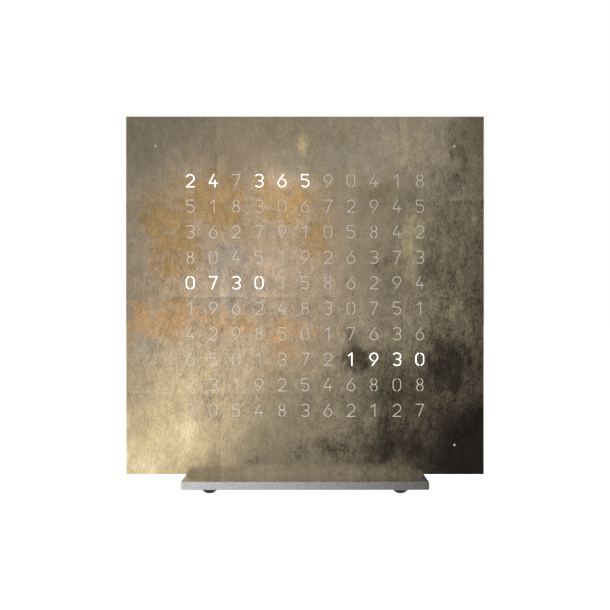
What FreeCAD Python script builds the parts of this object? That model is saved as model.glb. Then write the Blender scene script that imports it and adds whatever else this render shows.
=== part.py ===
"""Square desk word clock on a flat metal foot.

A thin square front plate carries eleven columns and ten rows of cut-out stencil numerals and one
dot in each corner.  A milky panel behind it fills the cut-outs, and the two lift off together:
four steel discs on their back meet four magnets in the housing.  The housing is a square
aluminium frame with a light grid, a board with one lamp behind each numeral, and a rear cover
with four set buttons and a power socket.  It stands on a foot plate with four rubber feet.

Millimetres, X to the right, Y to the back, Z up.  The origin is the centre of the foot plate,
on the surface that the clock stands on.
"""
import FreeCAD, Part
import math
import os

Vector = FreeCAD.Vector

# Front plate
face_side = 135.0
face_thickness = 1.2
face_gap = 0.03             # air between its lower edge and the foot plate

# Numerals and corner dots
columns = 11
rows = 10
matrix_margin = 24.17       # edge of the plate to the middle of the outermost numerals
numeral_height = 5.0
numeral_width = 3.3
stroke = 0.42
bridge = 0.5                # plate left standing between the halves of a round numeral
dot_diameter = 1.0
dot_inset = 11.1            # edge of the plate to the middle of a corner dot
numeral_rows = (
    "24736590418",
    "51830672945",
    "36279105842",
    "80451926373",
    "07301586294",
    "19624830751",
    "42985017636",
    "65013721930",
    "73192546808",
    "90548362127",
)

# Milky panel behind the front plate
panel_thickness = 0.8
panel_clearance = 0.4       # to the inside of the frame
inlay_clearance = 0.03      # round each raised numeral in its cut-out
inlay_recess = 0.04         # raised numerals below the front of the plate

# Magnetic catch
magnet_diameter = 8.0
magnet_thickness = 2.0
magnet_inset = 12.5         # edge of the plate to the middle of a magnet
magnet_clearance = 0.1
cover_gap = 0.2             # between the lift-off front and the housing

# Housing frame
frame_overhang = 4.0        # the front plate stands out past the frame by this much
frame_wall = 2.5
frame_corner = 3.0
frame_chamfer = 0.4
lug_width = 8.0
lug_depth = 8.0

# Light grid, board and lamps
grid_depth = 8.0
grid_clearance = 0.3
cell_wall = 0.8
border_wall = 1.5
dot_tube_diameter = 5.0
grid_floor = 1.5            # under the heads of the core screws
board_thickness = 1.6
board_clearance = 0.5
lamp_width = 3.5
lamp_height = 2.8
lamp_thickness = 1.0
component_space = 5.7       # board to rear cover

# Rear cover
rear_thickness = 2.0
rear_clearance = 0.2
sound_hole_diameter = 1.2
sound_hole_pitch = 3.0

# Screws
screw_inset = 15.0          # inside of the frame to the screw axis, across
screw_edge = 4.0            # inside of the frame to the screw axis, up and down
small_screw_diameter = 2.5
small_head_diameter = 4.6
small_head_height = 1.5
core_screw_length = 5.5
rear_screw_length = 3.2
foot_screw_diameter = 3.0
foot_head_diameter = 5.6
foot_head_height = 1.5
foot_screw_spacing = 50.0
thread_clearance = 0.05
hole_clearance = 0.15
recess_depth = 0.8

# Set buttons and their switches
button_names = ("hour", "minute", "brightness", "alarm")
button_pitch = 16.0
button_height = 40.0        # above the middle of the housing
button_diameter = 7.0
button_clearance = 0.2
button_proud = 0.8
button_flange_diameter = 9.0
button_flange_thickness = 1.1
button_play = 0.1
button_dish_depth = 0.35
switch_side = 6.0
switch_height = 3.5
plunger_diameter = 3.5
plunger_clearance = 0.1
plunger_engagement = 0.7    # plunger inside the switch at rest
switch_floor = 0.8

# Power socket
socket_width = 8.94
socket_height = 3.26
socket_wall = 0.3
socket_base = 1.5
socket_tongue_width = 6.7
socket_tongue_thickness = 0.7
socket_recess = 0.3         # mouth below the outside of the rear cover
socket_clearance = 0.35
socket_drop = 45.0          # below the middle of the housing

# Other parts on the back of the board
sounder_diameter = 12.0
sounder_height = 5.2
sounder_mouth_diameter = 2.4
cell_diameter = 12.5
cell_thickness = 2.0
cell_clearance = 0.15
holder_width = 16.0
holder_height = 14.6
holder_floor = 1.0
side_parts_inset = 25.0     # inside of the frame to the middle of the sounder and the cell holder
controller_side = 10.0
controller_thickness = 1.4
driver_length = 10.3
driver_width = 7.5
driver_thickness = 2.3
driver_x = 24.0
driver_z = 16.0
lead_reach = 1.0
lead_thickness = 0.25
crystal_length = 8.0
crystal_width = 3.8
crystal_height = 2.4
capacitor_diameter = 5.0
capacitor_height = 5.3
capacitor_base = 1.2
capacitor_x = 14.0

# Foot
foot_width = 90.0
foot_depth = 80.0
foot_thickness = 3.0
foot_reach = 30.0           # foot plate in front of the front plate
foot_edge = 0.3
block_width = 70.0
block_depth = 14.0
rubber_diameter = 7.0
rubber_flat_diameter = 2.4
rubber_height = 2.0
rubber_bulge = 0.63         # share of the way from flat to full radius that is reached at half height
rubber_inset = 10.0

# Levels, from the floor up
foot_top = rubber_height + foot_thickness
face_bottom = foot_top + face_gap
middle = face_bottom + face_side / 2
frame_half = face_side / 2 - frame_overhang
inner_half = frame_half - frame_wall
frame_bottom = middle - frame_half

# Depths, from front to back
face_front = -foot_depth / 2 + foot_reach
face_back = face_front + face_thickness
panel_back = face_back + panel_thickness
frame_front = face_back + cover_gap
grid_front = panel_back + cover_gap
grid_back = grid_front + grid_depth
board_back = grid_back + board_thickness
rear_front = board_back + component_space
rear_back = rear_front + rear_thickness
frame_middle = (frame_front + rear_back) / 2

# Places that several parts share
column_pitch = (face_side - 2 * matrix_margin) / (columns - 1)
row_pitch = (face_side - 2 * matrix_margin) / (rows - 1)
cell_places = [
    (matrix_margin - face_side / 2 + column * column_pitch,
     middle + face_side / 2 - matrix_margin - row * row_pitch)
    for row in range(rows) for column in range(columns)
]
dot_reach = face_side / 2 - dot_inset
dot_places = [(x * dot_reach, middle + z * dot_reach) for x in (-1, 1) for z in (-1, 1)]
magnet_reach = face_side / 2 - magnet_inset
magnet_places = [(x * magnet_reach, middle + z * magnet_reach)
                 for x, z in ((-1, 0), (1, 0), (0, -1), (0, 1))]
screw_column = inner_half - screw_inset
screw_reach = inner_half - screw_edge
screw_places = [(x * screw_column, middle + z * screw_reach) for x in (-1, 1) for z in (-1, 1)]
button_places = [((index - (len(button_names) - 1) / 2) * button_pitch, middle + button_height)
                 for index in range(len(button_names))]
socket_place = (0.0, middle - socket_drop)
side_parts_x = inner_half - side_parts_inset
sounder_place = (-side_parts_x, middle)
cell_place = (side_parts_x, middle)


# Shapes that several parts use
def box(left, right, front, back, low, high):
    """Box between two planes along each axis."""
    return Part.makeBox(right - left, back - front, high - low, Vector(left, front, low))


def rod(diameter, front, back, place):
    """Cylinder along Y."""
    return Part.makeCylinder(
        diameter / 2, back - front, Vector(place[0], front, place[1]), Vector(0, 1, 0))


def square(half, front, back):
    """Square slab about the middle of the housing."""
    return box(-half, half, front, back, middle - half, middle + half)


def flat_face(points):
    """Face in the XZ plane with straight edges."""
    corners = [Vector(x, 0, z) for x, z in points]
    return Part.Face(Part.makePolygon(corners + corners[:1]))


def cut_all(shape, cutters):
    """Shape with all the cutters taken away."""
    return shape.cut(Part.makeCompound(cutters))


def stadium(width, height, front, back, place):
    """Slot with round ends, its long side along X."""
    reach = (width - height) / 2
    x, z = place
    ends = [rod(height, front, back, (x + side * reach, z)) for side in (-1, 1)]
    core = box(x - reach, x + reach, front, back, z - height / 2, z + height / 2)
    return core.fuse(ends).removeSplitter()


# Stencil numerals, each about its own middle, as groups of strokes that touch
half_stroke = stroke / 2
top = numeral_height / 2 - half_stroke
side = numeral_width / 2 - half_stroke
bowl_z = top - side


def bar(x0, z0, x1, z1):
    """Straight stroke with square ends."""
    length = math.hypot(x1 - x0, z1 - z0)
    across_x = (z0 - z1) / length * half_stroke
    across_z = (x1 - x0) / length * half_stroke
    return flat_face([(x0 - across_x, z0 - across_z), (x1 - across_x, z1 - across_z),
                      (x1 + across_x, z1 + across_z), (x0 + across_x, z0 + across_z)])


def bend(x, z, radius, start, end):
    """Curved stroke, anticlockwise from one angle to the other, in degrees."""
    def point(reach, angle):
        return Vector(x + reach * math.cos(math.radians(angle)), 0,
                      z + reach * math.sin(math.radians(angle)))

    inner, outer, half_way = radius - half_stroke, radius + half_stroke, (start + end) / 2
    edges = [
        Part.Arc(point(outer, start), point(outer, half_way), point(outer, end)).toShape(),
        Part.LineSegment(point(outer, end), point(inner, end)).toShape(),
        Part.Arc(point(inner, end), point(inner, half_way), point(inner, start)).toShape(),
        Part.LineSegment(point(inner, start), point(outer, start)).toShape(),
    ]
    return Part.Face(Part.Wire(edges))


def touch_angle(x, z, circle_z, turn):
    """Angle at which a line from a point touches the bowl, on the side that turn gives."""
    distance = math.hypot(x, z - circle_z)
    towards = math.degrees(math.atan2(z - circle_z, x))
    return towards + turn * math.degrees(math.acos(side / distance))


def bowl_point(circle_z, angle):
    """Point of the bowl's centreline."""
    return side * math.cos(math.radians(angle)), circle_z + side * math.sin(math.radians(angle))


def zero():
    gap = math.degrees(math.asin(bridge / 2 / side))
    left = [bend(0, bowl_z, side, 90 + gap, 180), bar(-side, bowl_z, -side, -bowl_z),
            bend(0, -bowl_z, side, 180, 270 - gap)]
    right = [bend(0, -bowl_z, side, 270 + gap, 360), bar(side, -bowl_z, side, bowl_z),
             bend(0, bowl_z, side, 0, 90 - gap)]
    return [left, right]


def one():
    stem = side / 4
    flag_x, flag_z = -side * 0.75, top - side * 0.75
    return [[bar(stem, -top - half_stroke, stem, top + half_stroke), bar(flag_x, flag_z, stem, top)]]


def two():
    touch = touch_angle(-side, -top, bowl_z, 1)
    return [[bend(0, bowl_z, side, touch, 165), bar(*bowl_point(bowl_z, touch), -side, -top),
             bar(-side - half_stroke, -top, side + half_stroke, -top)]]


def three():
    radius = top / 2
    flat = side - radius
    strokes = [bar(-flat, 0, flat, 0)]
    for sign, start, end in ((1, 90, 150), (-1, 210, 270)):
        strokes += [bend(flat, sign * radius, radius, -90, 90), bar(-flat, sign * top, flat, sign * top),
                    bend(-flat, sign * radius, radius, start, end)]
    return [strokes]


def four():
    bar_z, stem_x, tip_x = -top * 0.42, side * 0.5, side * 0.15
    slope = (tip_x + side) / (top - bar_z)
    return [[bar(tip_x + slope * stroke, top + stroke, -side, bar_z),
             bar(-side - half_stroke, bar_z, side + half_stroke, bar_z),
             bar(stem_x, top * 0.12, stem_x, -top - half_stroke)]]


def five():
    radius = top * 0.6
    shoulder_z, stem_x, flat = 2 * radius - top, -side * 0.9, side - radius
    return [[bar(stem_x - half_stroke, top, side, top), bar(stem_x, top, stem_x, shoulder_z),
             bar(stem_x - half_stroke, shoulder_z, flat, shoulder_z),
             bend(flat, radius - top, radius, -90, 90), bar(-flat, -top, flat, -top),
             bend(-flat, radius - top, radius, 215, 270)]]


def six():
    tip = (side * 0.6, top + stroke)
    touch = touch_angle(*tip, -bowl_z, 1)
    gap = math.degrees(math.acos(side / (side + stroke + bridge)))
    return [[bar(*tip, *bowl_point(-bowl_z, touch)), bend(0, -bowl_z, side, touch, 360 + touch - gap)]]


def seven():
    foot_x = -side * 0.3
    slope = (side - foot_x) / (2 * top)
    return [[bar(-side - half_stroke, top, side + half_stroke, top),
             bar(side, top, foot_x - slope * stroke, -top - stroke)]]


def eight():
    upper, lower = top * 0.47, top * 0.53
    strokes = []
    for radius, z, pole in ((upper, top - upper, 90), (lower, lower - top, 270)):
        gap = math.degrees(math.asin(bridge / 2 / radius))
        strokes += [bend(0, z, radius, pole + gap, pole + 180),
                    bend(0, z, radius, pole - 180, pole - gap)]
    return [strokes]


def nine():
    strokes = six()[0]
    for stroke_face in strokes:
        stroke_face.rotate(Vector(0, 0, 0), Vector(0, 1, 0), 180)
    return [strokes]


def numeral_faces(groups):
    """One face for each group of strokes that touch, cut level with the numeral's top and bottom."""
    half_width, half_height = side + half_stroke, top + half_stroke
    limits = flat_face([(-half_width, -half_height), (half_width, -half_height),
                        (half_width, half_height), (-half_width, half_height)])
    return [strokes[0].fuse(strokes[1:]).common(limits).removeSplitter().Faces[0] for strokes in groups]


def inset_faces(faces):
    """The same faces, smaller all round by the inlay's clearance."""
    return [face.makeOffset2D(-inlay_clearance) for face in faces]


def repeat_faces(faces_of_numeral):
    """Faces of every numeral in its cell, in the XZ plane."""
    placed = []
    text = "".join(numeral_rows)
    for (x, z), numeral in zip(cell_places, text):
        for face in faces_of_numeral[numeral]:
            copy = face.copy()
            copy.translate(Vector(x, 0, z))
            placed.append(copy)
    return placed


numeral_shapes = (zero, one, two, three, four, five, six, seven, eight, nine)
cut_faces = {str(value): numeral_faces(shape()) for value, shape in enumerate(numeral_shapes)}
inlay_faces = {numeral: inset_faces(faces) for numeral, faces in cut_faces.items()}


def dot_wire(place, diameter):
    """Circle in the XZ plane."""
    centre = Vector(place[0], 0, place[1])
    return Part.Wire(Part.Circle(centre, Vector(0, 1, 0), diameter / 2).toShape())


# Lift-off front
def face_plate():
    """Laser-cut plate: one outline with every numeral and dot as a hole."""
    half = face_side / 2
    outline = flat_face([(-half, face_bottom), (half, face_bottom),
                         (half, face_bottom + face_side), (-half, face_bottom + face_side)])
    holes = [face.OuterWire for face in repeat_faces(cut_faces)]
    holes += [dot_wire(place, dot_diameter) for place in dot_places]
    face = Part.makeFace([outline.OuterWire] + holes, "Part::FaceMakerBullseye")
    face.translate(Vector(0, face_front, 0))
    return face.extrude(Vector(0, face_thickness, 0))


def character_panel():
    """Milky panel with raised numerals and dots, open where the steel discs sit."""
    sheet = square(inner_half - panel_clearance, face_back, panel_back)
    windows = [rod(magnet_diameter + 2 * panel_clearance, face_back - 1, panel_back + 1, place)
               for place in magnet_places]
    rise = face_thickness - inlay_recess
    faces = repeat_faces(inlay_faces)
    faces += [Part.Face(dot_wire(place, dot_diameter - 2 * inlay_clearance)) for place in dot_places]
    raised = []
    for face in faces:
        face.translate(Vector(0, face_front + inlay_recess, 0))
        raised.append(face.extrude(Vector(0, rise, 0)))
    return cut_all(sheet, windows).fuse(raised)


def strike_discs():
    """Steel discs glued to the back of the front plate, opposite the magnets."""
    return Part.makeCompound([rod(magnet_diameter, face_back, panel_back, place)
                              for place in magnet_places])


# Housing
def side_frame():
    """Square aluminium ring with four rear lugs and two tapped holes for the foot screws."""
    outer = square(frame_half, frame_front, rear_back)
    edges = [edge for edge in outer.Edges if abs(edge.tangentAt(edge.FirstParameter).y) > 0.5]
    outer = outer.makeFillet(frame_corner, edges)
    rims = [edge for edge in outer.Edges if abs(edge.CenterOfMass.y - rear_back) < 1e-6]
    outer = outer.makeChamfer(frame_chamfer, rims)
    inner = square(inner_half, frame_front - 1, rear_back + 1)
    edges = [edge for edge in inner.Edges if abs(edge.tangentAt(edge.FirstParameter).y) > 0.5]
    inner = inner.makeFillet(max(frame_corner - frame_wall, frame_wall / 5), edges)
    ring = outer.cut(inner)
    lugs = []
    for x in (-screw_column, screw_column):
        for low, high in ((middle + inner_half - lug_depth, middle + inner_half + frame_wall / 2),
                          (middle - inner_half - frame_wall / 2, middle - inner_half + lug_depth)):
            lugs.append(box(x - lug_width / 2, x + lug_width / 2, board_back, rear_front, low, high))
    holes = [rod(small_screw_diameter + 2 * thread_clearance, board_back - 1, rear_front + 1, place)
             for place in screw_places]
    holes += [Part.makeCylinder(foot_screw_diameter / 2 + thread_clearance, frame_wall + 2,
                                Vector(x, frame_middle, frame_bottom - 1))
              for x in (-foot_screw_spacing / 2, foot_screw_spacing / 2)]
    return cut_all(ring.fuse(lugs).removeSplitter(), holes)


def light_grid():
    """Black grid with one open cell behind each numeral and a tube behind each corner dot."""
    half = inner_half - grid_clearance
    cell_x, cell_z = (column_pitch - cell_wall) / 2, (row_pitch - cell_wall) / 2
    start = magnet_diameter / 2 + border_wall + magnet_clearance
    end = screw_column - small_head_diameter / 2 - hole_clearance - border_wall
    matrix_half = face_side / 2 - matrix_margin
    wires = [flat_face([(-half, middle - half), (half, middle - half),
                        (half, middle + half), (-half, middle + half)]).OuterWire]
    openings = [(x - cell_x, x + cell_x, z - cell_z, z + cell_z) for x, z in cell_places]
    for sign in (-1, 1):
        near = sorted((sign * start, sign * end))
        for other in (-1, 1):
            outside = other * (half - border_wall)
            far_x = sorted((other * (matrix_half + cell_x + border_wall), outside))
            far_z = sorted((other * (matrix_half + cell_z + border_wall), outside))
            openings.append((*far_x, middle + near[0], middle + near[1]))
            openings.append((*near, middle + far_z[0], middle + far_z[1]))
    wires += [flat_face([(left, low), (right, low), (right, high), (left, high)]).OuterWire
              for left, right, low, high in openings]
    wires += [dot_wire(place, dot_tube_diameter) for place in dot_places]
    face = Part.makeFace(wires, "Part::FaceMakerBullseye")
    face.translate(Vector(0, grid_front, 0))
    grid = face.extrude(Vector(0, grid_depth, 0))
    pocket_back = grid_front + magnet_thickness
    cutters = [rod(magnet_diameter + 2 * magnet_clearance, grid_front - 1, pocket_back, place)
               for place in magnet_places]
    for place in screw_places:
        cutters.append(rod(small_head_diameter + 2 * hole_clearance, grid_front - 1,
                           grid_back - grid_floor, place))
        cutters.append(rod(small_screw_diameter + 2 * hole_clearance, grid_front, grid_back + 1, place))
    return cut_all(grid, cutters)


def housing_magnets():
    return Part.makeCompound([rod(magnet_diameter, grid_front, grid_front + magnet_thickness, place)
                              for place in magnet_places])


def led_board():
    board = square(inner_half - board_clearance, grid_back, board_back)
    return cut_all(board, [rod(small_screw_diameter + 2 * hole_clearance, grid_back - 1, board_back + 1,
                               place) for place in screw_places])


def leds():
    """One lamp behind each numeral and each corner dot."""
    return Part.makeCompound([
        box(x - lamp_width / 2, x + lamp_width / 2, grid_back - lamp_thickness, grid_back,
            z - lamp_height / 2, z + lamp_height / 2)
        for x, z in cell_places + dot_places])


def rear_cover():
    """Moulded cover with button holes, socket opening, sound holes and countersunk screw holes."""
    plate = square(inner_half - rear_clearance, rear_front, rear_back)
    rims = [edge for edge in plate.Edges if abs(edge.CenterOfMass.y - rear_back) < 1e-6]
    plate = plate.makeChamfer(frame_chamfer, rims)
    cutters = [rod(button_diameter + 2 * button_clearance, rear_front - 1, rear_back + 1, place)
               for place in button_places]
    cutters.append(stadium(socket_width + 2 * socket_clearance, socket_height + 2 * socket_clearance,
                           rear_front - 1, rear_back + 1, socket_place))
    x, z = sounder_place
    sound_holes = [(x, z)]
    sound_holes += [(x + sound_hole_pitch * math.cos(math.radians(angle)),
                     z + sound_hole_pitch * math.sin(math.radians(angle)))
                    for angle in range(0, 360, 60)]
    cutters += [rod(sound_hole_diameter, rear_front - 1, rear_back + 1, place) for place in sound_holes]
    for x, z in screw_places:
        cutters.append(rod(small_screw_diameter + 2 * hole_clearance, rear_front - 1, rear_back + 1,
                           (x, z)))
        cutters.append(Part.makeCone(
            small_head_diameter / 2 + thread_clearance, small_screw_diameter / 2 + thread_clearance,
            small_head_height, Vector(x, rear_back, z), Vector(0, -1, 0)))
    return cut_all(plate, cutters)


# Screws
def cross_recess(radius, point, along):
    """Two crossed slots, sunk into a screw head along its axis."""
    reach, half = radius * 0.6, radius * 0.14
    slots = [Part.makeBox(2 * reach, 2 * half, recess_depth, Vector(-reach, -half, 0)),
             Part.makeBox(2 * half, 2 * reach, recess_depth, Vector(-half, -reach, 0))]
    cross = slots[0].fuse(slots[1])
    cross.Placement = FreeCAD.Placement(point, FreeCAD.Rotation(Vector(0, 0, 1), along))
    return cross


def screw(diameter, head_diameter, head_height, length, point, along, countersunk):
    """Screw whose head starts at the point; the shank runs on from the head by its length."""
    if countersunk:
        head = Part.makeCone(head_diameter / 2, diameter / 2, head_height, point, along)
    else:
        head = Part.makeCylinder(head_diameter / 2, head_height, point, along)
    shank = Part.makeCylinder(diameter / 2, length, point + along * head_height, along)
    return head.fuse(shank).removeSplitter().cut(cross_recess(head_diameter / 2, point, along))


def core_screws():
    """Pan-head screws that clamp the light grid and the board to the frame's lugs."""
    head_front = grid_back - grid_floor - small_head_height
    return Part.makeCompound([
        screw(small_screw_diameter, small_head_diameter, small_head_height, core_screw_length,
              Vector(x, head_front, z), Vector(0, 1, 0), False) for x, z in screw_places])


def rear_screws():
    return Part.makeCompound([
        screw(small_screw_diameter, small_head_diameter, small_head_height, rear_screw_length,
              Vector(x, rear_back, z), Vector(0, -1, 0), True) for x, z in screw_places])


def foot_screws():
    """Countersunk from below, through plate and block into the frame."""
    inside_floor = frame_bottom + frame_wall
    length = inside_floor - rubber_height - foot_head_height - hole_clearance
    return Part.makeCompound([
        screw(foot_screw_diameter, foot_head_diameter, foot_head_height, length,
              Vector(x, frame_middle, rubber_height), Vector(0, 0, 1), True)
        for x in (-foot_screw_spacing / 2, foot_screw_spacing / 2)])


# Buttons and switches
def switch_bodies():
    """Square switch housings with the bore that guides the plunger."""
    bodies = []
    for x, z in button_places:
        half = switch_side / 2
        body = box(x - half, x + half, board_back, board_back + switch_height, z - half, z + half)
        bodies.append(body.cut(rod(plunger_diameter + 2 * plunger_clearance, board_back + switch_floor,
                                   board_back + switch_height + 1, (x, z))))
    return Part.makeCompound(bodies)


flange_back = rear_front - button_play
flange_front = flange_back - button_flange_thickness


def button(place):
    """Cap with a retaining flange inside the cover and a dished end outside."""
    cap_back = rear_back + button_proud
    cap = rod(button_diameter, flange_front, cap_back, place)
    rim = [edge for edge in cap.Edges if abs(edge.CenterOfMass.y - cap_back) < 1e-6]
    flange = rod(button_flange_diameter, flange_front, flange_back, place)
    cap = cap.makeFillet(button_proud / 2, rim).fuse(flange)
    dish_radius = button_diameter / 2 - button_proud
    sphere_radius = (dish_radius ** 2 + button_dish_depth ** 2) / (2 * button_dish_depth)
    centre = Vector(place[0], cap_back + sphere_radius - button_dish_depth, place[1])
    return cap.removeSplitter().cut(Part.makeSphere(sphere_radius, centre))


def plunger(place):
    return rod(plunger_diameter, board_back + switch_height - plunger_engagement, flange_front, place)


# Electronic parts on the back of the board
def power_socket():
    """Upright reversible socket: round-ended shell, insulating base and contact tongue."""
    mouth = rear_back - socket_recess
    shell = stadium(socket_width, socket_height, board_back, mouth, socket_place)
    inside = stadium(socket_width - 2 * socket_wall, socket_height - 2 * socket_wall,
                     board_back + socket_base, mouth + 1, socket_place)
    x, z = socket_place
    tongue = box(x - socket_tongue_width / 2, x + socket_tongue_width / 2, board_back + socket_base / 2,
                 mouth - socket_base / 2, z - socket_tongue_thickness / 2, z + socket_tongue_thickness / 2)
    return shell.cut(inside).fuse(tongue).removeSplitter()


def sounder():
    body = rod(sounder_diameter, board_back, board_back + sounder_height, sounder_place)
    return body.cut(rod(sounder_mouth_diameter, board_back + sounder_height / 2,
                        board_back + sounder_height + 1, sounder_place))


def cell_holder():
    x, z = cell_place
    height = holder_floor + cell_thickness
    body = box(x - holder_width / 2, x + holder_width / 2, board_back, board_back + height,
               z - holder_height / 2, z + holder_height / 2)
    return body.cut(rod(cell_diameter + 2 * cell_clearance, board_back + holder_floor,
                        board_back + height + 1, cell_place))


def backup_cell():
    start = board_back + holder_floor
    cell = rod(cell_diameter, start, start + cell_thickness, cell_place)
    rim = [edge for edge in cell.Edges if abs(edge.CenterOfMass.y - start - cell_thickness) < 1e-6]
    return cell.makeFillet(cell_thickness / 8, rim)


def chip(length, width, thickness, place, reach_x, reach_z):
    """Moulded chip body on its flat frame of leads."""
    x, z = place
    half_x, half_z = length / 2, width / 2
    body = box(x - half_x, x + half_x, board_back, board_back + thickness, z - half_z, z + half_z)
    half_x, half_z = half_x + reach_x, half_z + reach_z
    leads = box(x - half_x, x + half_x, board_back, board_back + lead_thickness, z - half_z, z + half_z)
    return body.fuse(leads).removeSplitter()


def microcontroller():
    return chip(controller_side, controller_side, controller_thickness, (0.0, middle),
                lead_reach, lead_reach)


def driver_chips():
    places = [(x * driver_x, middle + z * driver_z) for x in (-1, 1) for z in (-1, 1)]
    return Part.makeCompound([chip(driver_length, driver_width, driver_thickness, place, 0, lead_reach)
                              for place in places])


def clock_crystal():
    half_x, half_z, z = crystal_length / 2, crystal_width / 2, middle - controller_side
    body = box(-half_x, half_x, board_back, board_back + crystal_height, z - half_z, z + half_z)
    edges = [edge for edge in body.Edges if abs(edge.tangentAt(edge.FirstParameter).y) > 0.5]
    return body.makeFillet(crystal_width / 4, edges)


def capacitors():
    """Upright cans on square bases, one each side of the power socket."""
    cans = []
    for sign in (-1, 1):
        x, z, half = sign * capacitor_x, socket_place[1], capacitor_diameter / 2
        base = box(x - half, x + half, board_back, board_back + capacitor_base, z - half, z + half)
        can = rod(capacitor_diameter, board_back, board_back + capacitor_height, (x, z))
        cans.append(base.fuse(can).removeSplitter())
    return Part.makeCompound(cans)


# Foot
def foot_hole(x, diameter, low, high):
    return Part.makeCylinder(diameter / 2, high - low, Vector(x, frame_middle, low))


def foot_plate():
    half_x, half_y = foot_width / 2, foot_depth / 2
    plate = box(-half_x, half_x, -half_y, half_y, rubber_height, foot_top)
    plate = plate.makeFillet(foot_edge, plate.Edges)
    cutters = []
    for x in (-foot_screw_spacing / 2, foot_screw_spacing / 2):
        cutters.append(foot_hole(x, foot_screw_diameter + 2 * hole_clearance,
                                 rubber_height - 1, foot_top + 1))
        cutters.append(Part.makeCone(foot_head_diameter / 2 + thread_clearance,
                                     foot_screw_diameter / 2 + thread_clearance, foot_head_height,
                                     Vector(x, frame_middle, rubber_height)))
    return cut_all(plate, cutters)


def foot_block():
    """Riser between the foot plate and the frame, hidden behind the front plate's lower edge."""
    block = box(-block_width / 2, block_width / 2, frame_middle - block_depth / 2,
                frame_middle + block_depth / 2, foot_top, frame_bottom)
    return cut_all(block, [
        foot_hole(x, foot_screw_diameter + 2 * hole_clearance, foot_top - 1, frame_bottom + 1)
        for x in (-foot_screw_spacing / 2, foot_screw_spacing / 2)])


def rubber_feet():
    """Stick-on domes, flat where they stand."""
    wide, flat = rubber_diameter / 2, rubber_flat_diameter / 2
    shoulder = (flat + (wide - flat) * rubber_bulge, rubber_height / 2)
    profile = Part.Wire([
        Part.LineSegment(Vector(0, 0, 0), Vector(flat, 0, 0)).toShape(),
        Part.Arc(Vector(flat, 0, 0), Vector(shoulder[0], 0, shoulder[1]),
                 Vector(wide, 0, rubber_height)).toShape(),
        Part.LineSegment(Vector(wide, 0, rubber_height), Vector(0, 0, rubber_height)).toShape(),
        Part.LineSegment(Vector(0, 0, rubber_height), Vector(0, 0, 0)).toShape(),
    ])
    feet = []
    for x in (rubber_inset - foot_width / 2, foot_width / 2 - rubber_inset):
        for y in (rubber_inset - foot_depth / 2, foot_depth / 2 - rubber_inset):
            foot = Part.Face(profile).revolve(Vector(0, 0, 0), Vector(0, 0, 1), 360)
            foot.translate(Vector(x, y, 0))
            feet.append(foot)
    return Part.makeCompound(feet)


single_parts = (
    rubber_feet, foot_plate, foot_block, foot_screws, side_frame, face_plate, character_panel,
    strike_discs, housing_magnets, light_grid, led_board, leds, core_screws, rear_cover, rear_screws,
    switch_bodies, power_socket, sounder, cell_holder, backup_cell, microcontroller, driver_chips,
    clock_crystal, capacitors,
)
parts = {make.__name__: make() for make in single_parts}
for name, place in zip(button_names, button_places):
    parts[name + "_button"] = button(place)
    parts[name + "_plunger"] = plunger(place)

os.makedirs("parts", exist_ok=True)
for name, shape in parts.items():
    shape.exportStep("parts/" + name + ".step")
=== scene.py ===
"""Dressed model of a square desk word clock.

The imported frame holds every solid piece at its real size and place.  This script gives each piece
the finish of the real one, in the order in which the clock is put together, and sets the studio
around it.  Lengths are in metres, and millimetres where a name ends in _mm.
"""
import math

import bpy
import numpy as np
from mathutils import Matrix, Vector


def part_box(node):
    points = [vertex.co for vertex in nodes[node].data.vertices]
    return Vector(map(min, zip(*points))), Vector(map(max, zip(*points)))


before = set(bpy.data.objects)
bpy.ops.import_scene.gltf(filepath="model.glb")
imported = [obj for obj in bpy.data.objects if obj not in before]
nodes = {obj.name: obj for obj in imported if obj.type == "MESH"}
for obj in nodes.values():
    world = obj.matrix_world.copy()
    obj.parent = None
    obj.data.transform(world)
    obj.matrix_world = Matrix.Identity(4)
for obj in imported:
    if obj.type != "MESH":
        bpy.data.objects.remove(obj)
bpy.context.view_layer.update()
scene = bpy.context.scene

# Camera
# It stands level and square in front of the clock, a little below the middle of the front plate,
# with a lens long enough that the foot's sides run back almost straight.
view_distance = 0.720
view_width = 0.2302          # seen across, at the front plate
eye_below_middle = 0.0036
sensor_width_mm = 36.0

plate_low, plate_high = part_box("face_plate")
plate_middle = (plate_low + plate_high) / 2
camera_data = bpy.data.cameras.new("camera")
camera_data.sensor_width = sensor_width_mm
camera_data.lens = sensor_width_mm * view_distance / view_width
camera_data.clip_end = 20
camera = bpy.data.objects.new("camera", camera_data)
camera.location = (plate_middle.x, plate_low.y - view_distance, plate_middle.z - eye_below_middle)
camera.rotation_euler = (math.pi / 2, 0, 0)
scene.collection.objects.link(camera)
scene.camera = camera
scene.view_settings.view_transform = "Standard"


# Studio
# A pale paper floor under an even white surround, one large soft lamp from the upper left and two
# weaker ones from the right and from behind, so that every side of the clock reads.
def linear(colour):
    """Colour for a shader, from an sRGB hex value such as 0x8C7A60."""
    channels = np.array([colour >> 16 & 255, colour >> 8 & 255, colour & 255]) / 255
    curved = np.where(channels <= 0.04045, channels / 12.92, ((channels + 0.055) / 1.055) ** 2.4)
    return (*curved.tolist(), 1.0)


def add(tree, kind, sockets=None, **settings):
    """Adds a node, with its settings, and fills or links its sockets by name or number."""
    node = tree.nodes.new("ShaderNode" + kind)
    for name, value in settings.items():
        setattr(node, name, value)
    for key, value in (sockets or {}).items():
        if isinstance(value, bpy.types.NodeSocket):
            tree.links.new(value, node.inputs[key])
        else:
            node.inputs[key].default_value = value
    return node


surround_strength = 0.60     # on the object; seen directly or mirrored, the surround is plain white
floor_colour = 0xE8E7E4
floor_lift = 0.94            # own light of the floor, which leaves only a trace of a shadow
floor_mirrored = 0.45        # its own light as the clock mirrors it

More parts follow.
